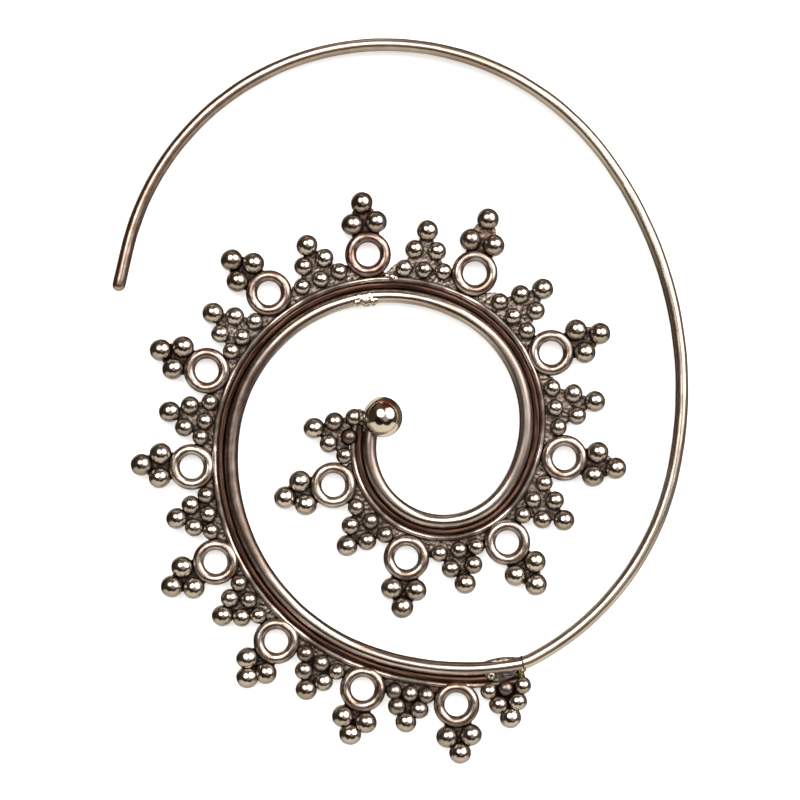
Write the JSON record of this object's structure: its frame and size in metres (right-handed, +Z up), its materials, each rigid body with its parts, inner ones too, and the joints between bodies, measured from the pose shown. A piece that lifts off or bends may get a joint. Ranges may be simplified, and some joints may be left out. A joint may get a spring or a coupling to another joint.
{
  "type": "spiral hoop earring",
  "caption": "Flat spiral hoop earring in aged brass: a grooved band edged with wire rings, bead clusters and an end ball, on one long round ear wire.",
  "frame": {"origin": "middle of the earring's outline, on the flat surface that it lies on", "axes": "+Z up out of the surface, from the plain back to the face with the groove; +Y towards the top of the ear wire; +X to the right in the picture, towards the joint of band and ear wire"},
  "size_m": [0.045, 0.0566, 0.003],
  "materials": {
    "band": "polished wires with dark brown tarnish in the groove",
    "wire": "bright drawn wire, lightly toned",
    "ball": "polished, with red tarnish at its foot",
    "ring": "polished, with copper red tarnish",
    "granule": "polished beads with dark patina between them"
  },
  "bodies": {
    "root": {"spiral_band": "band", "ear_wire": "wire", "end_ball": "ball", "ring_trefoil_01": "ring", "ring_trefoil_02": "ring", "ring_trefoil_03": "ring", "ring_trefoil_04": "ring", "ring_trefoil_05": "ring", "ring_trefoil_06": "ring", "ring_trefoil_07": "ring", "ring_trefoil_08": "ring", "ring_trefoil_09": "ring", "ring_trefoil_10": "ring", "ring_trefoil_11": "ring", "ring_trefoil_12": "ring", "ring_trefoil_13": "ring", "ring_trefoil_14": "ring", "bead_triangle_01": "granule", "bead_triangle_02": "granule", "bead_triangle_03": "granule", "bead_triangle_04": "granule", "bead_triangle_05": "granule", "bead_triangle_06": "granule", "bead_triangle_07": "granule", "bead_triangle_08": "granule", "bead_triangle_09": "granule", "bead_triangle_10": "granule", "bead_triangle_11": "granule", "bead_triangle_12": "granule", "bead_triangle_13": "granule", "bead_triangle_14": "granule", "bead_triangle_15": "granule"}
  },
  "joints": []
}
